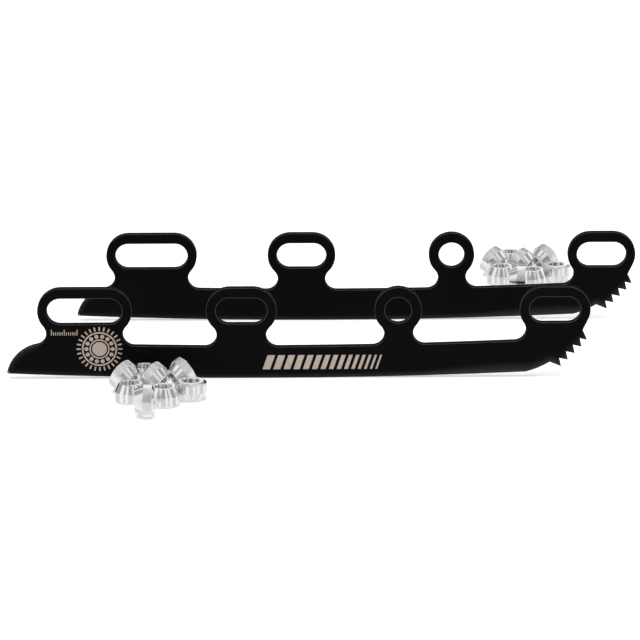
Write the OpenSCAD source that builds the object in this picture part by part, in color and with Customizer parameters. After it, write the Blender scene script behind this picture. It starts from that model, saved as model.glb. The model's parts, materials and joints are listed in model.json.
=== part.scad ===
// A pair of ice blades that bolt into an inline skate's frame in place of its wheels,
// with the loose conical spacers that centre each blade on the skate's axles.
// Millimetres, +Z up. The toe points along +X and the origin is the front blade's fixed axle hole.

/* [Axles] */
// Distance between neighbouring axles when each sits in the middle of its slot
axle_pitch = 79; // [74:0.5:84]
// How much that distance can be adjusted
pitch_range = 12; // [8:0.5:14]
// Spare length in every slot
slot_play = 0.5; // [0.2:0.1:1]
// Width of the slots and diameter of the fixed hole
hole_d = 13.5; // [13:0.1:13.8]
// Depth of the conical seat at each edge of a slot or hole
seat_depth = 0.1; // [0.05:0.05:0.3]
// Diameter of the skate's axles
axle_d = 8; // [6:0.5:8.5]
// Clearance of a spacer's bore on its axle
axle_clear = 0.2; // [0.1:0.05:0.4]

/* [Blade] */
// Thickness of the blade
blade_t = 4; // [3.6:0.1:5]
// Height of the axles above the lowest point of the running edge
axle_h = 35.2; // [33:0.2:40]
// Depth of the web along the running edge
web_depth = 16.3; // [13:0.1:18]
// Wall above and below a slot and around the fixed hole
lug_wall = 5.25; // [4.5:0.05:7]
// Wall at the ends of a slot
lug_end_wall = 4.85; // [4:0.05:5.4]
// Radius of the fillets where the lugs meet the web
fillet_r = 6; // [4:0.25:7]

/* [Running edge] */
// Radius of the rocker, seen from the side
rocker_r = 3100; // [2600:50:4000]
// Distance from the fixed hole back to the lowest point of the rocker
rocker_back = 66; // [40:1:80]
// Radius of the hollow ground along the running edge
hollow_r = 14; // [9:0.5:25]
// Thickness at the running edge
edge_t = 3.6; // [3:0.1:3.6]
// Height over which the sides taper to the running edge
taper_h = 5; // [2:0.5:9]

/* [Heel] */
// Radius of the heel
heel_r = 19.6; // [17:0.2:22]
// Distance from the end of the rear slot back to the centre of the heel's arc
heel_back = 8.5; // [5:0.5:11]
// Depth of that centre below the lowest point of the running edge
heel_drop = 1.6; // [0.5:0.1:3]
// Radius of the heel's lower corner
heel_corner_r = 0.8; // [0.5:0.1:3]

/* [Toe] */
// Radius of the arc that lifts the toe off the ice
toe_r = 42; // [36:1:55]
// Distance from the rear end of the front slot back to the start of the toe's arc
toe_start = 8.2; // [6:0.2:10]
// Number of teeth
tooth_count = 5; // [3:1:6]
// Distance from tooth to tooth
tooth_pitch = 4.85; // [4:0.05:5.2]
// Height of a tooth
tooth_depth = 3.8; // [2.5:0.1:4.2]
// Height of the uppermost tooth
top_tooth_depth = 3.1; // [2:0.1:4]
// How far the uppermost tooth ends short of the others' pitch
top_tooth_cut = 1; // [0:0.1:1.5]
// Slope of the row of teeth
tooth_slope = 45; // [40:1:50]
// Depth of the row's two end notches behind the other notches
tooth_relief = 2; // [1:0.1:2.5]
// Distance from the end of the front slot forward to the middle of the row
tooth_row_x = 1.2; // [0:0.1:3]
// Distance from the axles down to the middle of the row
tooth_row_drop = 20.2; // [19:0.1:22]

/* [Spacers] */
// Diameter of a spacer's wide end
spacer_wide_d = 15.8; // [15:0.1:18]
// Diameter of a spacer's narrow end
spacer_narrow_d = 11.7; // [11.7:0.1:12.6]
// Slope of the cone against the spacer's axis
cone_angle = 26; // [25:0.5:30]
// Clear width in the skate's frame that two spacers and the blade fill
frame_gap = 19.1; // [18.5:0.1:22]
// Width of the bevel around a spacer's wide end
rim_bevel_w = 1.5; // [0.5:0.1:1.8]
// Height of that bevel
rim_bevel_h = 0.9; // [0.3:0.1:1.2]
// Chamfer at the ends of a spacer's bore
bore_chamfer = 0.4; // [0.2:0.05:0.6]

/* [Layout] */
// Distance of the rear blade behind the front one
pair_gap = 106; // [60:1:140]
// Distance of the rear blade towards the toe
pair_shift = 30; // [0:1:60]
// Distance from the front blade's fixed hole back to the middle of its spacers
front_pile_back = 122; // [100:1:140]
// Gap between the front blade and the nearest of its spacers
front_pile_gap = 0.6; // [0.5:0.1:20]
// Distance from the rear blade's fixed hole forward to the middle of its spacers
rear_pile_ahead = 41; // [30:1:60]
// Gap between the rear blade and the nearest of its spacers
rear_pile_gap = 35; // [10:1:60]

/* [Hidden] */
coated_black = [0.07, 0.07, 0.075];
bare_aluminium = [0.82, 0.83, 0.85];
$fn = 96;
// Sides of the rocker's long circles
rocker_fn = 2880;
// Overlap that lets tangent arcs cross, far below any visible size
blend = 0.004;
// How far cuts run past a face
over = 1;
// Angle of the rocker's circle that is made, which reaches past both ends of the blade
rocker_sweep = 12;

// Axle holes, from heel to toe
hole_r = hole_d / 2;
axle_x = [-2 * axle_pitch, -axle_pitch, 0, axle_pitch];
slot_travel = [for (steps = [2, 1, 0, 1]) steps == 0 ? 0 : steps * pitch_range + slot_play];

// Lugs around the axle holes: a slot's ends have a thinner wall than its sides
lug_r = hole_r + lug_wall;
lug_inset = lug_wall - lug_end_wall;
function lug_end(i, side) = [axle_x[i] + side * max(0, slot_travel[i] / 2 - lug_inset), 0];

// Running edge and web
ice_y = -axle_h;
rocker_c = [-rocker_back, ice_y + rocker_r];
web_top_r = rocker_r - web_depth;
web_mid_r = rocker_r - web_depth / 2;
hollow_c = rocker_r + sqrt(pow(hollow_r, 2) - pow(edge_t / 2, 2));
heel_c = [axle_x[0] - slot_travel[0] / 2 - heel_back, ice_y - heel_drop];

// Toe: the row of teeth climbs from its first notch, on the arc that lifts off the rocker.
// The first tooth's lower side runs on past that notch to a root inside the toe.
front_slot_ends = [for (side = [-1, 1]) axle_x[3] + side * slot_travel[3] / 2];
row_c = [front_slot_ends[1] + tooth_row_x, -tooth_row_drop];
row_along = [cos(tooth_slope), sin(tooth_slope)];
row_out = [sin(tooth_slope), -cos(tooth_slope)];
function on_row(steps, out) = row_c + steps * tooth_pitch * row_along + out * row_out;
first_notch = on_row(-tooth_count / 2, -tooth_relief);
last_notch = on_row(tooth_count / 2, -tooth_relief) - top_tooth_cut * row_along;
first_tip = on_row((1 - tooth_count) / 2, tooth_depth);
first_root = first_notch + over * (first_notch - first_tip) / norm(first_notch - first_tip);
toe_lift_x = front_slot_ends[0] - toe_start;
toe_lift = [toe_lift_x, rocker_c.y - sqrt(pow(rocker_r, 2) - pow(toe_lift_x - rocker_c.x, 2))];
toe_c = meet(toe_lift, toe_r, first_notch, toe_r, 1);

// Spacers: two of them and the blade fill the frame, with each cone sunk in its seat
cone_tan = tan(cone_angle);
seat_sink = seat_depth + (hole_d - spacer_narrow_d) / 2 / cone_tan;
spacer_len = (frame_gap - blade_t) / 2 + seat_sink;
wide_r = spacer_wide_d / 2;
narrow_r = spacer_narrow_d / 2;
bore_r = (axle_d + axle_clear) / 2;
cone_start = spacer_len - (wide_r - narrow_r) / cone_tan;

// A spacer's outer edges from the wide end to the narrow end: radius, and height above its middle
rims = [
    [wide_r - rim_bevel_w, -spacer_len / 2],
    [wide_r, rim_bevel_h - spacer_len / 2],
    [wide_r, cone_start - spacer_len / 2],
    [narrow_r, spacer_len / 2],
];

// One set of spacers set down loosely. The places are in steps of a spacer's diagonal.
// Each row is x, y, how far the narrow end is tipped over from upright, and which way it is tipped.
pile_step = norm([spacer_wide_d, spacer_len]);
on_wide_end = 0;
on_side = 90;
on_cone = 90 + cone_angle;
on_narrow_end = 180;
pile = [
    [-0.63, -0.29, on_wide_end, 0],
    [-0.20, -1.68, on_side, 178],
    [0.27, -0.64, on_wide_end, 0],
    [0.99, -0.11, on_narrow_end, 0],
    [-0.80, 0.59, on_cone, -35],
    [-0.30, 1.33, on_wide_end, 0],
    [0.01, 0.42, on_cone, -32],
    [0.70, 0.84, on_cone, 212],
];
spacer_count = len(pile);
pile_back = max([for (spot = pile) reach(spot, 1) + spot.y * pile_step]);
pile_front = max([for (spot = pile) reach(spot, -1) - spot.y * pile_step]);
pair_at = [pair_shift, pair_gap, 0];
front_pile_at = [-front_pile_back, -(blade_t / 2 + front_pile_gap + pile_back), ice_y];
rear_pile_at = pair_at + [rear_pile_ahead, blade_t / 2 + rear_pile_gap + pile_front, ice_y];

// Where two circles cross: to the left of the line from a to b for side 1, to its right for side -1
function meet(a, ra, b, rb, side) =
    let (
        gap = norm(b - a),
        along = (b - a) / gap,
        foot = (pow(ra, 2) - pow(rb, 2) + pow(gap, 2)) / (2 * gap),
        rise = sqrt(pow(ra, 2) - pow(foot, 2))
    )
    a + foot * along + side * rise * [-along.y, along.x];

// The point at a distance from the rocker's centre, on the line through p
function below(p, distance) = rocker_c + (p - rocker_c) / norm(p - rocker_c) * distance;

// Centre of the fillet between a lug's end and the top of the web
function web_fillet(i, side) =
    meet(lug_end(i, side), lug_r + fillet_r - blend, rocker_c, web_top_r - fillet_r + blend, -side);

// Where the line from p touches a circle, on the circle's right as seen from p
function touch(p, c, r) =
    let (away = atan2(p.y - c.y, p.x - c.x), swing = acos(r / norm(p - c)))
    c + r * [cos(away + swing), sin(away + swing)];

// Height of a spacer's middle above the floor that it rests on
function rest_height(tilt) = max([for (rim = rims) rim.x * abs(sin(tilt)) - rim.y * cos(tilt)]);

// How far a spacer of a pile reaches from its middle: to the back for side 1, to the front for side -1
function reach(spot, side) =
    let (lean = sin(spot[2]) * sin(spot[3]))
    max([for (rim = rims) side * lean * rim.y + sqrt(1 - pow(lean, 2)) * rim.x]);

// A plate with round ends
module stadium(travel, r) {
    for (side = travel > 0 ? [-1, 1] : [0]) plate() translate([side * travel / 2, 0]) circle(r);
    if (travel > 0) plate() square([travel, 2 * r], center = true);
}

module lug(i) {
    translate([axle_x[i], 0, 0]) stadium(lug_end(i, 1).x - lug_end(i, -1).x, lug_r);
}

// The neck under a lug, between the fillets at its two ends. Each foot lies inside the web.
module neck(i, rear_fillet, rear_foot, front_fillet, front_foot) {
    difference() {
        polygon([rear_fillet, lug_end(i, -1), lug_end(i, 1), front_fillet, front_foot, rear_foot]);
        for (c = [rear_fillet, front_fillet]) translate(c) circle(fillet_r);
    }
}

module middle_neck(i) {
    rear = web_fillet(i, -1);
    front = web_fillet(i, 1);
    neck(i, rear, below(rear, web_mid_r), front, below(front, web_mid_r));
}

// The first lug's rear fillet runs into the heel's arc
module heel_neck() {
    rear = meet(lug_end(0, -1), lug_r + fillet_r - blend, heel_c, heel_r + fillet_r - blend, -1);
    front = web_fillet(0, 1);
    neck(0, rear, heel_c, front, below(front, web_mid_r));
}

// The last lug stands on the toe: a fillet behind it and the toothed front before it
module toe_neck() {
    rear = web_fillet(3, -1);
    difference() {
        polygon([rear, lug_end(3, -1), lug_end(3, 1), first_root, below(rear, web_mid_r)]);
        translate(rear) circle(fillet_r);
    }
}

module toothed_front() {
    front_end = lug_end(3, 1);
    brow = touch(last_notch, front_end, lug_r - blend);
    top_step = (tooth_count - 1) / 2;
    lower_teeth = [
        for (step = [-top_step:top_step - 1])
            each [on_row(step, tooth_depth), on_row(step + 1 / 2, 0)]
    ];
    top_tip = on_row(top_step, top_tooth_depth) - top_tooth_cut / 2 * row_along;
    polygon(concat([front_end, first_root], lower_teeth, [top_tip, last_notch, brow]));
}

// The arc under the toe, from the rocker to the first notch
module toe_arc() {
    inside = below(web_fillet(3, -1), web_mid_r);
    away = (first_notch - toe_c) / toe_r;
    rise = web_depth / 4;
    intersection() {
        translate(toe_c) circle(toe_r);
        polygon([
            inside + [0, rise],
            inside - [0, web_depth],
            first_notch + rise * away,
            first_notch + [0, rise]
        ]);
    }
}

module web() {
    length = toe_lift.x - over - heel_c.x;
    difference() {
        translate([heel_c.x, ice_y - over]) square([length, web_depth + axle_h / 2]);
        translate(rocker_c) circle(web_top_r, $fn = rocker_fn);
    }
}

// What comes off the heel's lower corner to round it
module heel_corner() {
    c = meet(heel_c, heel_r - heel_corner_r + blend, rocker_c, rocker_r - heel_corner_r + blend, 1);
    reach = 3 * heel_corner_r;
    to_heel = (c - heel_c) / norm(c - heel_c);
    to_ice = (c - rocker_c) / norm(c - rocker_c);
    difference() {
        polygon([c, c + reach * to_heel, c + reach * (to_heel + to_ice), c + reach * to_ice]);
        translate(c) circle(heel_corner_r);
    }
}

// A side outline as a plate that stands proud of both faces of the blade
module plate() {
    linear_extrude(height = blade_t + 2 * over, center = true) children();
}

// The blade seen from the side, with the toe to the right
module side_plate() {
    difference() {
        union() {
            plate() web();
            plate() translate(heel_c) circle(heel_r);
            plate() heel_neck();
            plate() middle_neck(1);
            plate() middle_neck(2);
            plate() toe_neck();
            plate() toothed_front();
            plate() toe_arc();
            for (i = [0:3]) lug(i);
        }
        plate() heel_corner();
    }
}

// A length of the big wheel whose rim is the running edge, with tapered sides and a hollow
module running_wheel() {
    inner_r = rocker_r - 2 * axle_h;
    half = blade_t / 2;
    edge = edge_t / 2;
    translate(rocker_c)
        rotate_extrude(angle = rocker_sweep, start = 270 - rocker_sweep / 2, $fn = rocker_fn)
            difference() {
                polygon([
                    [inner_r, -half], [rocker_r - taper_h, -half], [rocker_r, -edge],
                    [rocker_r, edge], [rocker_r - taper_h, half], [inner_r, half]
                ]);
                translate([hollow_c, 0]) circle(hollow_r);
            }
}

// A slot or hole with a conical seat at both of its edges
module axle_cut(travel) {
    flare_h = seat_depth + over;
    flare_r = hole_r + flare_h * cone_tan;
    stadium(travel, hole_r);
    for (face = [0, 1]) mirror([0, 0, face]) translate([0, 0, blade_t / 2 - seat_depth]) {
        for (side = travel > 0 ? [-1, 1] : [0])
            translate([side * travel / 2, 0, 0]) cylinder(r1 = hole_r, r2 = flare_r, h = flare_h);
        if (travel > 0)
            rotate([90, 0, 90])
                linear_extrude(height = travel, center = true)
                    polygon([[-hole_r, 0], [hole_r, 0], [flare_r, flare_h], [-flare_r, flare_h]]);
    }
}

module blade() {
    rotate([90, 0, 0])
        difference() {
            intersection() {
                side_plate();
                running_wheel();
            }
            for (i = [0:3]) translate([axle_x[i], 0, 0]) axle_cut(slot_travel[i]);
        }
}

module front_blade() {
    color(coated_black) blade();
}

module rear_blade() {
    color(coated_black) translate(pair_at) blade();
}

// A turned spacer around its middle, with its narrow end up
module spacer() {
    half = spacer_len / 2;
    bore_rim_r = bore_r + bore_chamfer;
    rotate_extrude()
        polygon(concat(rims, [
            [bore_rim_r, half],
            [bore_r, half - bore_chamfer],
            [bore_r, bore_chamfer - half],
            [bore_rim_r, -half]
        ]));
}

// One spacer of a pile, at its place and in its way of resting
module placed_spacer(i) {
    spot = pile[i - 1];
    translate([spot.x * pile_step, spot.y * pile_step, rest_height(spot[2])])
        rotate([0, spot[2], spot[3]]) spacer();
}

module front_spacer(i) {
    color(bare_aluminium) translate(front_pile_at) placed_spacer(i);
}

module rear_spacer(i) {
    color(bare_aluminium) translate(rear_pile_at) placed_spacer(i);
}

front_blade();
rear_blade();
for (i = [1:spacer_count]) {
    front_spacer(i);
    rear_spacer(i);
}
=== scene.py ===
# A pair of black ice blades and their turned spacers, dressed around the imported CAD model. Metres, +Z up.
import json
import math

import bmesh
import bpy
from mathutils import Matrix, Vector


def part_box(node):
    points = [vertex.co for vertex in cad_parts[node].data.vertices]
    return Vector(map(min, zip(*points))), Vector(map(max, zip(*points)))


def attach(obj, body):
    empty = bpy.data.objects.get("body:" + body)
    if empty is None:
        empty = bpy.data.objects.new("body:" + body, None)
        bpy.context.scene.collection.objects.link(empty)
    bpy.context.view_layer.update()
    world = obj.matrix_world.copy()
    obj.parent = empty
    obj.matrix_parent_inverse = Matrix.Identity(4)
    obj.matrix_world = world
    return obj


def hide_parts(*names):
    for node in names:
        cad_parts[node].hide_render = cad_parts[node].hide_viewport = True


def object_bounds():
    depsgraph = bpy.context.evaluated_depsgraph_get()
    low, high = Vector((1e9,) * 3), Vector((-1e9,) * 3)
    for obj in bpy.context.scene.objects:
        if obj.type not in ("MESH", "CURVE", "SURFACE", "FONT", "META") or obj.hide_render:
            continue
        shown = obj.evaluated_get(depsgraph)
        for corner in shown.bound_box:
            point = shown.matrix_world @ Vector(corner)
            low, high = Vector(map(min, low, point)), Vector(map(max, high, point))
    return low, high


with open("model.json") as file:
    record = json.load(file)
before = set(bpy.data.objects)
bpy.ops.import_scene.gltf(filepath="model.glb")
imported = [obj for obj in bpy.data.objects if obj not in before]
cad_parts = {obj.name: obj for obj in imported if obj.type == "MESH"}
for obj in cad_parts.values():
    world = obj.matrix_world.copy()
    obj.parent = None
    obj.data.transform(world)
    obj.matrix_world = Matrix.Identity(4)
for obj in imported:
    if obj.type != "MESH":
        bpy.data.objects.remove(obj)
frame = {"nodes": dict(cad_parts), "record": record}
cad_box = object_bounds()

MM = 0.001
BLADES = ("front_blade", "rear_blade")
SPACERS = [name for name in sorted(frame["nodes"]) if "spacer" in name]
MOUNTS = {mount["name"]: mount for mount in frame["record"]["mounts"]}

# Camera: the photograph's view, aimed from the front blade's fixed axle hole
VIEW_ELEVATION = math.radians(16)
VIEW_ROLL = math.radians(-0.24)
VIEW_DISTANCE = 2.2085
VIEW_WIDTH = 0.3224
AIM_RIGHT = -0.0394
AIM_UP = -0.0052
SENSOR = 36

# Blade: its outline in the side view, from its fixed axle hole
ROCKER_R = 3100 * MM
ROCKER_BACK = 66 * MM
HEEL_CENTRE = (-178.75 * MM, 0, -36.8 * MM)
HEEL_R = 19.6 * MM
HEEL_TIP = (-197.3 * MM, 0, -32 * MM)
TOE_CENTRE = (54.2 * MM, 0, 8.25 * MM)
TOE_R = 42 * MM
TOE_START = 64.55 * MM
TOOTH_ROW = (86.45 * MM, 0, -20.2 * MM)
TOOTH_OUT = (math.sqrt(0.5), 0, -math.sqrt(0.5))
TOOTH_TIP = 3.8 * MM

# Blade: middle and half travel of its round hole and three slots, along x
HOLE_R = MOUNTS["front_fixed_axle"]["dims"]["r_mm"] * MM
SLOTS = MOUNTS["front_axle_slots"]["dims"]
SLOT_AT = SLOTS["spacing_x_mm"] / 2 * MM
SLOT_TRAVEL = SLOTS["slot_length_mm"] / 2 * MM - HOLE_R
REAR_SLOT = MOUNTS["front_rear_slot"]
REAR_TRAVEL = REAR_SLOT["dims"]["slot_length_mm"] / 2 * MM - HOLE_R
HOLES = ((0, 0), (SLOT_AT, SLOT_TRAVEL), (-SLOT_AT, SLOT_TRAVEL), (REAR_SLOT["pos_m"][0], REAR_TRAVEL))

# Blade: how its mesh is joined, rounded and shaded, and what tells its flats, rim and hollow apart
WELD = 0.03 * MM
FLAT_ANGLE = math.radians(0.2)
SHARP_ANGLE = math.radians(28)
EDGE_ROUND = 0.2 * MM
EDGE_STEPS = 4
CREASE_ANGLE = math.radians(24)
FLAT_LEAST_Y = 0.9999
RIM_MOST_Y = 0.1
HOLLOW_MOST_Z = -0.9
HOLLOW_DEPTH = 0.3 * MM
COAT, EDGE, GROUND, RIM = range(4)

# Coat: how far its painted sheen reaches in from the outline, and the spans along x or z over which the
# painted sheen changes
SHEEN_FALLOFF_POWER = 1.6
MIDDLE_SHEEN_REACH = 2.8 * MM
FRONT_SHEEN_REACH = 6.3 * MM
FRONT_SHEEN_X = (0, 55 * MM)
TOE_SHEEN_SHARE = 0.6
TOE_SHEEN_X = (58 * MM, 76 * MM)
LUG_CLEAR = 6 * MM
LUG_CLEAR_X = (75 * MM, 85 * MM)
TOOTH_SHEEN_REACH = 6 * MM
UPPER_TOOTH_SHARE = 0.3
UPPER_TOOTH_Z = (-16 * MM, -10 * MM)
HEEL_SHEEN_REACH = 3.2 * MM
HEEL_SHEEN_X = (-185 * MM, -180 * MM)
# Greys of the painted sheen at the heel and at the toe, and the span along x between them
HEEL_SHEEN_GREY = 0.018
TOE_SHEEN_GREY = 0.034
SHEEN_GREY_X = (-190 * MM, 60 * MM)
# Painted glint at the heel's tip: its grey, its share and its reach
TIP_GLINT_GREY = 0.4
TIP_GLINT_SHARE = 0.5
TIP_GLINT_REACH = (0.4 * MM, 1.3 * MM)
# Painted highlight line around the axle holes: its width and the span over which it fades; the width also
# keeps the outline's rounding off the holes' seats
HOLE_LINE = 0.28 * MM
HOLE_HIGHLIGHT_REACH = (0.7 * HOLE_LINE, HOLE_LINE)

# Spacer: what counts as a corner of its section, roundness of its edges, steps around its axis
SECTION_DIGITS = 3
SAME_SPOT = 0.05 * MM
STRAIGHT_ANGLE = math.radians(175)
RIM_ROUND = 0.14 * MM
RIM_STEPS = 4
TURN_STEPS = 144
OUTSIDE, BORE = range(2)

# Spacer: its map runs once around and in millimetres along the section, as does the lathe's feed
TURNED_MAP = "turned"
RING_FEED = 0.16
RING_SHARE = 0.4
STREAKS_PER_MM = 2.6
# Painted reflection streaks in the bore: how far they are drawn out along the axis, and their edges
BORE_DRAWN_OUT = 0.03
BORE_REFLECTION_EDGES = (0.44, 0.56)

# Etched marks on the front blade's face, placed from its fixed axle hole
MARK_DEPTH = 0.02 * MM
BAND_START = Vector((-68.5, -30.6)) * MM
BAND_LENGTH = 60.4 * MM
BAND_HEIGHT = 7.4 * MM
BAND_SLANT = math.radians(19)
BAND_BARS = 15
BAND_GAP = 1.6 * MM
BAND_LAST_SHARE = 0.25
ROSETTE_CENTRE = Vector((-150.7, -19.6)) * MM
ROSETTE_DISC_R = 3.7 * MM
ROSETTE_RINGS = ((4.4 * MM, 5.1 * MM), (8.1 * MM, 8.9 * MM))
ROSETTE_STEPS = 96
ROSETTE_DOTS = 14
ROSETTE_DOT_R = 1.05 * MM
ROSETTE_DOT_RING = 6.6 * MM
ROSETTE_DOT_STEPS = 24
ROSETTE_TICKS = 28
ROSETTE_TICK_FROM = 9.5 * MM
ROSETTE_TICK_TO = 11.6 * MM
ROSETTE_TICK_W = 0.75 * MM
SCALE_START = Vector((-175, -12.4)) * MM
SCALE_STEP = 1.08 * MM
SCALE_TICKS = 13
SCALE_TICK_W = 0.4 * MM
SCALE_TALL = 3 * MM
SCALE_SHORT = 1.7 * MM
SCALE_TALL_EVERY = 6

# Studio: light of its panels, and the gaps between them as degrees from the camera's side and half widths
PANEL_LIGHT = 1.2
GAP_LIGHT = 0.38
GAP_SOFT = 6
DARK_GAPS = ((-155, 9), (-110, 20), (-47, 6), (0, 14), (40, 5), (86, 16), (150, 10))

# Studio: share of the gaps that is left below the horizon, the light overhead and the floor
LOW_GAP_SHARE = 0.45
HORIZON = (-0.02, 0.1)
SUN_WAY = (0.1, 0.1, -1)
SUN_STRENGTH = 2.0
SUN_SPREAD = math.radians(50)
FLOOR_HALF = 4
FLOOR_DROP = 0.05 * MM
FLOOR_GLOW = 0.22

# Blender's numbers for the colour sockets of a Mix node
MIX_FIRST, MIX_SECOND, MIX_RESULT = 6, 7, 2


def add_object(name, data):
    """A new object in the scene."""
    made = bpy.data.objects.new(name, data)
    bpy.context.scene.collection.objects.link(made)
    return made


def finished_mesh(name, shape, *materials):
    """A mesh from a bmesh, which is freed."""
    mesh = bpy.data.meshes.new(name)
    shape.to_mesh(mesh)
    shape.free()
    for one in materials:
        mesh.materials.append(one)
    return mesh


# Shader nodes

def add_node(tree, kind, inputs=None, **settings):
    """A shader node with its settings, and with its inputs set or linked."""
    made = tree.nodes.new(kind)
    for key, value in settings.items():
        setattr(made, key, value)
    for key, value in (inputs or {}).items():
        if isinstance(value, bpy.types.NodeSocket):
            tree.links.new(value, made.inputs[key])
        else:
            made.inputs[key].default_value = value
    return made


def math_node(tree, operation, *values, clamp=False):
    made = add_node(tree, "ShaderNodeMath", dict(enumerate(values)), operation=operation, use_clamp=clamp)
    return made.outputs[0]


def vector_node(tree, operation, *values):
    return add_node(tree, "ShaderNodeVectorMath", dict(enumerate(values)), operation=operation).outputs


def noise(tree, at, scale, detail, **inputs):
    sockets = {"Vector": at, "Scale": scale, "Detail": detail, **inputs}
    return add_node(tree, "ShaderNodeTexNoise", sockets).outputs["Fac"]


def spread(tree, value, low, high):
    """A value from nought to one, spread from low to high."""
    return add_node(tree, "ShaderNodeMapRange", {"Value": value, "To Min": low, "To Max": high}).outputs[0]


def smooth_range(tree, value, span, at_low=0.0, at_high=1.0):
    """An eased step over a span of the value."""
    inputs = {"Value": value, "From Min": span[0], "From Max": span[1], "To Min": at_low, "To Max": at_high}
    return add_node(tree, "ShaderNodeMapRange", inputs, interpolation_type="SMOOTHSTEP").outputs[0]


def blend(tree, factor, first, second):
    inputs = {"Factor": factor, MIX_FIRST: first, MIX_SECOND: second}
    return add_node(tree, "ShaderNodeMix", inputs, data_type="RGBA").outputs[MIX_RESULT]


def object_spot(tree):
    return add_node(tree, "ShaderNodeTexCoord").outputs["Object"]


def grey(value):
    return (value, value, value, 1)


def new_material(name, **sockets):
    """A material, its nodes and its shader, with the shader's own sockets set."""
    made = bpy.data.materials.new(name)
    made.use_nodes = True
    shader = made.node_tree.nodes["Principled BSDF"]
    for key, value in sockets.items():
        shader.inputs[key.replace("_", " ")].default_value = value
    return made, made.node_tree, shader


def add_bump(tree, shader, height, strength, distance):
    bump = add_node(tree, "ShaderNodeBump", {"Height": height, "Strength": strength, "Distance": distance})
    tree.links.new(bump.outputs[0], shader.inputs["Normal"])


# Materials

def depth_in_circle(tree, spot, centre, radius):
    """How deep a spot lies inside a circle in the blade's side view."""
    return math_node(tree, "SUBTRACT", radius, vector_node(tree, "DISTANCE", spot, centre)["Value"])


def sheen_falloff(tree, depth, reach):
    """Painted sheen, full at the outline and gone at the reach."""
    left = math_node(tree, "SUBTRACT", 1.0, math_node(tree, "DIVIDE", depth, reach), clamp=True)
    return math_node(tree, "POWER", left, SHEEN_FALLOFF_POWER)


def from_holes(tree, x, z):
    """Distance from the edge of the nearest axle hole in the blade's side view, a metre at most."""
    nearest = 1.0
    for middle, travel in HOLES:
        off = math_node(tree, "ABSOLUTE", math_node(tree, "SUBTRACT", x, middle))
        past = math_node(tree, "MAXIMUM", math_node(tree, "SUBTRACT", off, travel), 0.0)
        spoke = add_node(tree, "ShaderNodeCombineXYZ", {"X": past, "Z": z}).outputs[0]
        nearest = math_node(tree, "MINIMUM", vector_node(tree, "LENGTH", spoke)["Value"], nearest)
    return math_node(tree, "SUBTRACT", nearest, HOLE_R)


def running_edge_sheen(tree, spot, x):
    """Painted sheen where light catches the running edge and the toe's arc, which counts only between its
    start and the lug.
    """
    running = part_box("front_blade")[0].z
    over_ice = depth_in_circle(tree, spot, (-ROCKER_BACK, 0, running + ROCKER_R), ROCKER_R)
    behind_toe = math_node(tree, "LESS_THAN", x, TOE_START)
    before_lug = smooth_range(tree, x, LUG_CLEAR_X, 0.0, LUG_CLEAR)
    under_toe = math_node(tree, "ADD", depth_in_circle(tree, spot, TOE_CENTRE, TOE_R),
                          math_node(tree, "ADD", behind_toe, before_lug))
    reach = math_node(tree, "MULTIPLY", smooth_range(tree, x, FRONT_SHEEN_X, MIDDLE_SHEEN_REACH, FRONT_SHEEN_REACH),
                      smooth_range(tree, x, TOE_SHEEN_X, 1.0, TOE_SHEEN_SHARE))
    return sheen_falloff(tree, math_node(tree, "MINIMUM", over_ice, under_toe), reach)


def tooth_sheen(tree, spot, z):
    """Painted sheen from the tips of the teeth inward, less on the upper ones."""
    from_row = vector_node(tree, "SUBTRACT", spot, TOOTH_ROW)[0]
    out_of_row = vector_node(tree, "DOT_PRODUCT", from_row, TOOTH_OUT)["Value"]
    sheen_mask = sheen_falloff(tree, math_node(tree, "SUBTRACT", TOOTH_TIP, out_of_row), TOOTH_SHEEN_REACH)
    return math_node(tree, "MULTIPLY", sheen_mask, smooth_range(tree, z, UPPER_TOOTH_Z, 1.0, UPPER_TOOTH_SHARE))


def heel_sheen(tree, spot, x):
    # Painted sheen inward from the heel's arc, faded out along x
    sheen_mask = sheen_falloff(tree, depth_in_circle(tree, spot, HEEL_CENTRE, HEEL_R), HEEL_SHEEN_REACH)
    return math_node(tree, "MULTIPLY", sheen_mask, smooth_range(tree, x, HEEL_SHEEN_X, 1.0, 0.0))


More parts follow.
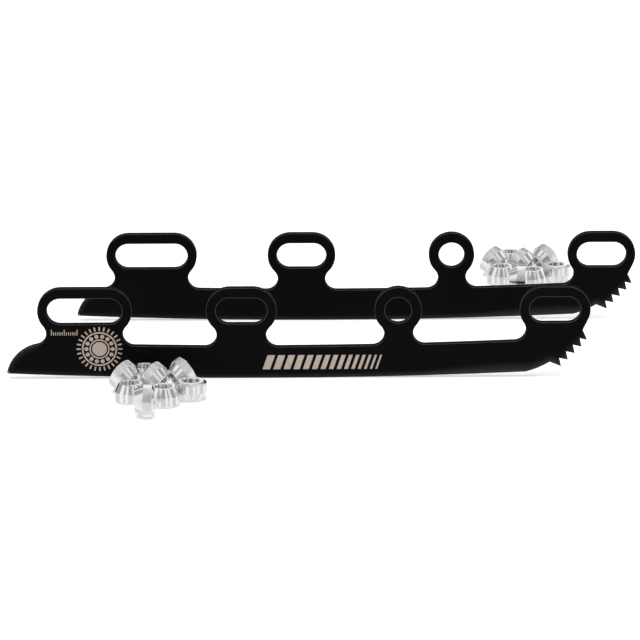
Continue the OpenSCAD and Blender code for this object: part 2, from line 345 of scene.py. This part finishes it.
def coat_material(name, gloss, dark, light, hole_highlight_grey):
    """Satin black coat with a fine grain, with a painted sheen towards the running edge, the teeth and the
    heel, a painted highlight line around the axle holes, and a painted glint at the heel's tip."""
    made, tree, shader = new_material(name, Specular_IOR_Level=gloss)
    at = object_spot(tree)
    split = add_node(tree, "ShaderNodeSeparateXYZ", {0: at}).outputs
    x, z = split["X"], split["Z"]
    spot = add_node(tree, "ShaderNodeCombineXYZ", {"X": x, "Z": z}).outputs[0]
    # Painted sheen where light catches the rounded running edge, the teeth and the heel, in greys that grow
    # paler towards the toe
    sheen_mask = math_node(tree, "MAXIMUM", running_edge_sheen(tree, spot, x), tooth_sheen(tree, spot, z))
    sheen_mask = math_node(tree, "MAXIMUM", sheen_mask, heel_sheen(tree, spot, x))
    pale = blend(tree, smooth_range(tree, x, SHEEN_GREY_X), grey(HEEL_SHEEN_GREY), grey(TOE_SHEEN_GREY))
    cloud = noise(tree, at, scale=45.0, detail=3.0)
    colour = blend(tree, sheen_mask, blend(tree, cloud, grey(dark), grey(light)), pale)
    # Painted highlight line around the axle holes
    line = smooth_range(tree, from_holes(tree, x, z), HOLE_HIGHLIGHT_REACH, 1.0, 0.0)
    colour = blend(tree, line, colour, grey(hole_highlight_grey))
    # Painted glint at the heel's tip
    from_tip = vector_node(tree, "DISTANCE", spot, HEEL_TIP)["Value"]
    tip = smooth_range(tree, from_tip, TIP_GLINT_REACH, TIP_GLINT_SHARE, 0.0)
    tree.links.new(blend(tree, tip, colour, grey(TIP_GLINT_GREY)), shader.inputs["Base Color"])

    grain = noise(tree, at, scale=900.0, detail=4.0, Roughness=0.6)
    tree.links.new(spread(tree, grain, low=0.34, high=0.5), shader.inputs["Roughness"])
    add_bump(tree, shader, grain, strength=0.12, distance=0.02 * MM)
    return made


def edge_material():
    """The coat along the plate's rounded edges, painted paler: partly worn thin, partly a painted edge
    highlight.
    """
    made, tree, shader = new_material("edge_rub_and_highlight", Specular_IOR_Level=0.1, Roughness=0.5)
    # Paler grey on the edges: partly wear, partly a painted highlight line along the outline
    black, rub_and_highlight_grey = grey(0.02), grey(0.07)
    rub = noise(tree, object_spot(tree), scale=160.0, detail=3.0)
    tree.links.new(blend(tree, rub, black, rub_and_highlight_grey), shader.inputs["Base Color"])
    return made


def ground_material():
    """Bare steel of the hollow, with grinding lines along the blade."""
    made, tree, shader = new_material("ground_steel", Metallic=1.0, Anisotropic=0.5)
    dull, bright = grey(0.38), grey(0.62)
    lines_per_metre = (40.0, 6000.0, 400.0)
    along = add_node(tree, "ShaderNodeMapping", {"Vector": object_spot(tree), "Scale": lines_per_metre})
    lines = noise(tree, along.outputs[0], scale=1.0, detail=3.0)
    tree.links.new(blend(tree, lines, dull, bright), shader.inputs["Base Color"])
    tree.links.new(spread(tree, lines, low=0.22, high=0.4), shader.inputs["Roughness"])
    add_bump(tree, shader, lines, strength=0.2, distance=0.01 * MM)
    return made


def turned_spot(tree):
    """Share of a turn around a spacer's axis, and millimetres along its section."""
    turned = add_node(tree, "ShaderNodeUVMap", uv_map=TURNED_MAP).outputs[0]
    split = add_node(tree, "ShaderNodeSeparateXYZ", {0: turned}).outputs
    return split["X"], split["Y"]


def aluminium_material():
    """Bright aluminium with the lathe's fine rings around the spacer's axis."""
    made, tree, shader = new_material("turned_aluminium", Metallic=1.0, Anisotropic=0.7,
                                      Anisotropic_Rotation=0.25)
    dull, bright = (0.70, 0.705, 0.71, 1), (0.82, 0.825, 0.83, 1)
    along = turned_spot(tree)[1]
    ring = math_node(tree, "SINE", math_node(tree, "MULTIPLY", along, 2 * math.pi / RING_FEED))
    streak = add_node(tree, "ShaderNodeTexNoise",
                      {"W": math_node(tree, "MULTIPLY", along, STREAKS_PER_MM), "Detail": 4.0},
                      noise_dimensions="1D").outputs["Fac"]
    tree.links.new(blend(tree, streak, dull, bright), shader.inputs["Base Color"])
    smudge = noise(tree, object_spot(tree), scale=260.0, detail=3.0)
    tree.links.new(spread(tree, smudge, low=0.2, high=0.28), shader.inputs["Roughness"])
    height = math_node(tree, "ADD", math_node(tree, "MULTIPLY", ring, RING_SHARE), streak)
    add_bump(tree, shader, height, strength=0.06, distance=0.01 * MM)
    tangent = add_node(tree, "ShaderNodeTangent", direction_type="UV_MAP", uv_map=TURNED_MAP)
    tree.links.new(tangent.outputs[0], shader.inputs["Tangent"])
    return made


def bore_material():
    """The drilled bore, duller than the turned outside, with painted reflection streaks along the axis."""
    made, tree, shader = new_material("drilled_bore", Metallic=0.6)
    dull, bright = grey(0.3), grey(0.93)
    around, along = turned_spot(tree)
    angle = math_node(tree, "MULTIPLY", around, 2 * math.pi)
    spot = add_node(tree, "ShaderNodeCombineXYZ",
                    {"X": math_node(tree, "COSINE", angle), "Y": math_node(tree, "SINE", angle),
                     "Z": math_node(tree, "MULTIPLY", along, BORE_DRAWN_OUT)}).outputs[0]
    drawn = noise(tree, spot, scale=2.6, detail=2.0)
    # Painted reflection streaks
    light = smooth_range(tree, drawn, BORE_REFLECTION_EDGES)
    tree.links.new(blend(tree, light, dull, bright), shader.inputs["Base Color"])
    tree.links.new(spread(tree, drawn, low=0.35, high=0.55), shader.inputs["Roughness"])
    return made


def mark_material():
    """Etched marks, a warm silver with a dull grain."""
    made, tree, shader = new_material("etched_mark", Metallic=0.35, Specular_IOR_Level=0.4)
    dull, bright = (0.35, 0.288, 0.242, 1), (0.525, 0.447, 0.38, 1)
    grain = noise(tree, object_spot(tree), scale=700.0, detail=4.0)
    tree.links.new(blend(tree, grain, dull, bright), shader.inputs["Base Color"])
    tree.links.new(spread(tree, grain, low=0.4, high=0.6), shader.inputs["Roughness"])
    return made


def floor_material():
    """A pale floor that glows a little, which softens the shadows on it."""
    made, tree, shader = new_material("pale_floor", Roughness=0.9, Specular_IOR_Level=0.1,
                                      Emission_Color=grey(1), Emission_Strength=FLOOR_GLOW)
    dull, bright = grey(0.9), grey(0.92)
    cloud = noise(tree, object_spot(tree), scale=1.5, detail=2.0)
    tree.links.new(blend(tree, cloud, dull, bright), shader.inputs["Base Color"])
    return made


# Blades

def from_nearest_hole(spot):
    """Distance of a spot on the blade from the edge of the nearest axle hole."""
    return min(math.hypot(max(abs(spot.x - middle) - travel, 0), spot.z) for middle, travel in HOLES) - HOLE_R


def over_rocker(spot, running):
    """Height of a spot over the rocker that the blade runs on."""
    return ROCKER_R - math.hypot(spot.x + ROCKER_BACK, spot.z - running - ROCKER_R)


def turns_past(line, angle):
    return len(line.link_faces) == 2 and line.calc_face_angle() > angle


def round_outline(shape, running):
    """Rounds the edges of the blade's outline and gives the new faces. The seats in the holes and the two ice
    edges stay crisp."""
    outline = []
    for line in shape.edges:
        middle = (line.verts[0].co + line.verts[1].co) / 2
        on_outline = from_nearest_hole(middle) > HOLE_LINE and over_rocker(middle, running) > HOLLOW_DEPTH
        if on_outline and turns_past(line, SHARP_ANGLE):
            outline.append(line)
    return bmesh.ops.bevel(shape, geom=outline, offset=EDGE_ROUND, segments=EDGE_STEPS, profile=0.5,
                           affect="EDGES", clamp_overlap=False, loop_slide=True)["faces"]


def in_hollow(face, running):
    middle = face.calc_center_median()
    return (face.normal.z < HOLLOW_MOST_Z and middle.x < TOE_START
            and over_rocker(middle, running) < HOLLOW_DEPTH)


def dressed_blade(node, materials):
    """The CAD blade with its flats joined and its outline rounded, around its own fixed axle hole."""
    hole = Vector(MOUNTS[node.split("_")[0] + "_fixed_axle"]["pos_m"])
    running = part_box(node)[0].z - hole.z
    shape = bmesh.new()
    shape.from_mesh(frame["nodes"][node].data)
    bmesh.ops.translate(shape, vec=-hole, verts=shape.verts)
    bmesh.ops.remove_doubles(shape, verts=shape.verts, dist=WELD)
    bmesh.ops.dissolve_limit(shape, angle_limit=FLAT_ANGLE, verts=shape.verts, edges=shape.edges)
    rounded = round_outline(shape, running)
    for face in shape.faces:
        face.smooth = abs(face.normal.y) < FLAT_LEAST_Y
        face.material_index = RIM if abs(face.normal.y) < RIM_MOST_Y else COAT
    for face in rounded:
        face.material_index = EDGE
    for face in shape.faces:
        if in_hollow(face, running):
            face.material_index = GROUND
    for line in shape.edges:
        if turns_past(line, CREASE_ANGLE):
            line.smooth = False
    piece = add_object(node + "_dressed", finished_mesh(node + "_dressed", shape, *materials))
    piece.matrix_world = Matrix.Translation(hole)
    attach(piece, node)
    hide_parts(node)


# Etched marks

def add_walls(shape, rounds):
    """Faces between closed rounds of vertices, from each round to the next."""
    for first, second in zip(rounds, rounds[1:]):
        for i in range(len(first)):
            shape.faces.new((first[i - 1], first[i], second[i], second[i - 1]))


def add_round(shape, points, y):
    return [shape.verts.new((p[0], y, p[1])) for p in points]


def add_plate(shape, points, face_y):
    """A flat plate of the given outline (x, z), standing proud of the blade's face and open at its back."""
    front = add_round(shape, points, face_y - MARK_DEPTH)
    shape.faces.new(front)
    add_walls(shape, (add_round(shape, points, face_y), front))


def circle_points(centre, radius, steps):
    angles = [2 * math.pi * i / steps for i in range(steps)]
    return [centre + radius * Vector((math.cos(a), math.sin(a))) for a in angles]


def add_ring(shape, centre, inner, outer, face_y):
    """A flat ring that stands proud as a plate does."""
    inside, outside = (circle_points(centre, radius, ROSETTE_STEPS) for radius in (inner, outer))
    front_y = face_y - MARK_DEPTH
    add_walls(shape, (add_round(shape, outside, face_y), add_round(shape, outside, front_y),
                      add_round(shape, inside, front_y), add_round(shape, inside, face_y)))


def draw_band(shape, face_y):
    """A band of slanted bars that thin out towards the toe."""
    lean = BAND_HEIGHT * math.tan(BAND_SLANT)
    shares = [1 + (BAND_LAST_SHARE - 1) * i / (BAND_BARS - 1) for i in range(BAND_BARS)]
    unit = (BAND_LENGTH - lean - BAND_GAP * (BAND_BARS - 1)) / sum(shares)
    x, low = BAND_START
    high = low + BAND_HEIGHT
    for share in shares:
        end = x + unit * share
        add_plate(shape, ((x, low), (end, low), (end + lean, high), (x + lean, high)), face_y)
        x = end + BAND_GAP


def draw_rosette(shape, face_y):
    """A disc, rings, dots and short ticks around one centre."""
    add_plate(shape, circle_points(ROSETTE_CENTRE, ROSETTE_DISC_R, ROSETTE_STEPS), face_y)
    for inner, outer in ROSETTE_RINGS:
        add_ring(shape, ROSETTE_CENTRE, inner, outer, face_y)
    for dot in circle_points(ROSETTE_CENTRE, ROSETTE_DOT_RING, ROSETTE_DOTS):
        add_plate(shape, circle_points(dot, ROSETTE_DOT_R, ROSETTE_DOT_STEPS), face_y)
    start, end, half = ROSETTE_TICK_FROM, ROSETTE_TICK_TO, ROSETTE_TICK_W / 2
    corners = [Vector(corner) for corner in ((start, -half), (end, -half), (end, half), (start, half))]
    for i in range(ROSETTE_TICKS):
        turn = Matrix.Rotation(2 * math.pi * i / ROSETTE_TICKS, 2)
        add_plate(shape, [ROSETTE_CENTRE + turn @ corner for corner in corners], face_y)


def draw_scale(shape, face_y):
    """A short row of ticks below the rear slot."""
    low = SCALE_START.y
    for i in range(SCALE_TICKS):
        x = SCALE_START.x + i * SCALE_STEP
        end = x + SCALE_TICK_W
        high = low + (SCALE_TALL if i % SCALE_TALL_EVERY == 0 else SCALE_SHORT)
        add_plate(shape, ((x, low), (end, low), (end, high), (x, high)), face_y)


def marks_piece(name, draw, material):
    """A piece of marks, drawn on the front blade's face."""
    shape = bmesh.new()
    draw(shape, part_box("front_blade")[0].y)
    bmesh.ops.recalc_face_normals(shape, faces=shape.faces)
    piece = add_object(name, finished_mesh(name, shape, material))
    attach(piece, "front_blade")


# Spacers

def turned_section(node):
    """Corners (radius, height above the middle) of a spacer's section, read from a CAD spacer that stands
    upright, in turn around the section's middle."""
    low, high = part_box(node)
    centre = (low + high) / 2
    found = set()
    for vertex in frame["nodes"][node].data.vertices:
        off = vertex.co - centre
        found.add(tuple(round(size / MM, SECTION_DIGITS) * MM for size in (math.hypot(off.x, off.y), off.z)))
    middle = [sum(values) / len(found) for values in zip(*found)]
    ring = [Vector(c) for c in sorted(found, key=lambda c: math.atan2(c[1] - middle[1], c[0] - middle[0]))]
    apart = [spot for i, spot in enumerate(ring) if (spot - ring[i - 1]).length > SAME_SPOT]
    return [spot for i, spot in enumerate(apart)
            if (apart[i - 1] - spot).angle(apart[(i + 1) % len(apart)] - spot) < STRAIGHT_ANGLE]


def round_corners(points, radius, steps):
    """The outline with each corner replaced by a small arc."""
    rounded = []
    for i, corner in enumerate(points):
        before = (points[i - 1] - corner).normalized()
        after = (points[(i + 1) % len(points)] - corner).normalized()
        half = before.angle(after) / 2
        centre = corner + (before + after).normalized() * radius / math.sin(half)
        first = corner + before * radius / math.tan(half) - centre
        last = corner + after * radius / math.tan(half) - centre
        rounded += [centre + first.lerp(last, k / steps).normalized() * radius for k in range(steps + 1)]
    return rounded


def turned_mesh(section, pose, materials):
    """The section turned around the spacer's axis and set in its pose, mapped around and along it. The last
    corner and the first are the ends of the bore."""
    shape = bmesh.new()
    turned = shape.loops.layers.uv.new(TURNED_MAP)
    angles = [2 * math.pi * k / TURN_STEPS for k in range(TURN_STEPS)]
    rings = [[shape.verts.new(pose @ Vector((radius * math.cos(a), radius * math.sin(a), height)))
              for a in angles] for radius, height in section]
    start = 0.0
    for i, ring in enumerate(rings):
        below = rings[i - 1]
        end = start + (section[i] - section[i - 1]).length / MM
        for k in range(TURN_STEPS):
            n = (k + 1) % TURN_STEPS
            face = shape.faces.new((below[k], below[n], ring[n], ring[k]))
            face.smooth = True
            face.material_index = BORE if i == 0 else OUTSIDE
            for loop, (step, along) in zip(face.loops, ((k, start), (k + 1, start), (k + 1, end), (k, end))):
                loop[turned].uv = (step / TURN_STEPS, along)
        start = end
    bmesh.ops.recalc_face_normals(shape, faces=shape.faces)
    return finished_mesh("spacer", shape, *materials)


def dressed_spacer(node, section, materials, made):
    """The turned piece at a CAD spacer's place, with its narrow end along the axis of the spacer's bore.
    Spacers that lie alike share a mesh."""
    bore = MOUNTS[node + "_bore"]
    axis = Vector(bore["axis"])
    key = tuple(axis)
    if key not in made:
        tilt = Matrix.Rotation(math.acos(max(-1, min(1, axis.z))), 4, "Y")
        turn = Matrix.Rotation(math.atan2(axis.y, axis.x), 4, "Z")
        made[key] = turned_mesh(section, turn @ tilt, materials)
    piece = add_object(node + "_dressed", made[key])
    piece.matrix_world = Matrix.Translation(bore["pos_m"])
    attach(piece, node)
    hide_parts(node)


# Stage, light and camera

def add_floor():
    """A floor just under the running edges, which the metals don't mirror."""
    shape = bmesh.new()
    bmesh.ops.create_grid(shape, x_segments=1, y_segments=1, size=FLOOR_HALF)
    floor = add_object("floor", finished_mesh("floor", shape, floor_material()))
    floor.location.z = cad_box[0].z - FLOOR_DROP
    floor.visible_glossy = False


def add_sun():
    """Soft light from overhead, which the metals don't mirror."""
    data = bpy.data.lights.new("overhead", "SUN")
    data.energy = SUN_STRENGTH
    data.angle = SUN_SPREAD
    light = add_object("overhead", data)
    light.rotation_euler = Vector(SUN_WAY).to_track_quat("-Z", "Y").to_euler()
    light.visible_glossy = False


def add_world():
    """A bright studio whose panels leave a few darker upright gaps."""
    world = bpy.data.worlds.new("studio")
    bpy.context.scene.world = world
    world.use_nodes = True
    tree = world.node_tree
    way = add_node(tree, "ShaderNodeTexCoord").outputs["Generated"]
    split = add_node(tree, "ShaderNodeSeparateXYZ", {0: way}).outputs
    towards_camera = math_node(tree, "MULTIPLY", split["Y"], -1.0)
    around = math_node(tree, "ARCTAN2", split["X"], towards_camera)
    share = math_node(tree, "ADD", math_node(tree, "DIVIDE", around, 2 * math.pi), 0.5)
    panels = add_node(tree, "ShaderNodeValToRGB", {"Fac": share})
    panels.color_ramp.interpolation = "EASE"
    stops = panels.color_ramp.elements
    stops[0].color = stops[1].color = grey(PANEL_LIGHT)
    for centre, half in DARK_GAPS:
        for angle, light in ((-half - GAP_SOFT, PANEL_LIGHT), (-half, GAP_LIGHT), (half, GAP_LIGHT),
                             (half + GAP_SOFT, PANEL_LIGHT)):
            stops.new((centre + angle) / 360 + 0.5).color = grey(light)
    gaps = smooth_range(tree, split["Z"], HORIZON, LOW_GAP_SHARE, 1.0)
    light = blend(tree, gaps, grey(PANEL_LIGHT), panels.outputs[0])
    tree.links.new(light, tree.nodes["Background"].inputs["Color"])


def add_camera():
    away = Vector((0, math.cos(VIEW_ELEVATION), -math.sin(VIEW_ELEVATION)))
    up = Vector((0, math.sin(VIEW_ELEVATION), math.cos(VIEW_ELEVATION)))
    right = Vector((1, 0, 0))
    data = bpy.data.cameras.new("camera")
    data.sensor_width = SENSOR
    data.lens = SENSOR * VIEW_DISTANCE / VIEW_WIDTH
    camera = add_object("camera", data)
    facing = Matrix((right, up, -away)).transposed().to_4x4() @ Matrix.Rotation(VIEW_ROLL, 4, "Z")
    aim = AIM_RIGHT * right + AIM_UP * up
    camera.matrix_world = Matrix.Translation(aim - VIEW_DISTANCE * away) @ facing
    bpy.context.scene.camera = camera


coat = coat_material("black_coat", gloss=0.03, dark=0.002, light=0.0034, hole_highlight_grey=0.05)
# The rim: a less glossy copy of the coat, painted a little paler as a lighter side so that the plate's
# thickness reads
rim = coat_material("black_rim", gloss=0.002, dark=0.002, light=0.005, hole_highlight_grey=0.004)
steels = coat, edge_material(), ground_material(), rim
for node in BLADES:
    dressed_blade(node, steels)

etched = mark_material()
marks_piece("front_band", draw_band, etched)
marks_piece("front_rosette", draw_rosette, etched)
marks_piece("front_scale", draw_scale, etched)

section = round_corners(turned_section("front_spacer_1"), RIM_ROUND, RIM_STEPS)
metals = aluminium_material(), bore_material()
meshes = {}
for node in SPACERS:
    dressed_spacer(node, section, metals, meshes)

add_floor()
add_world()
add_sun()
add_camera()
bpy.context.scene.view_settings.view_transform = "Standard"
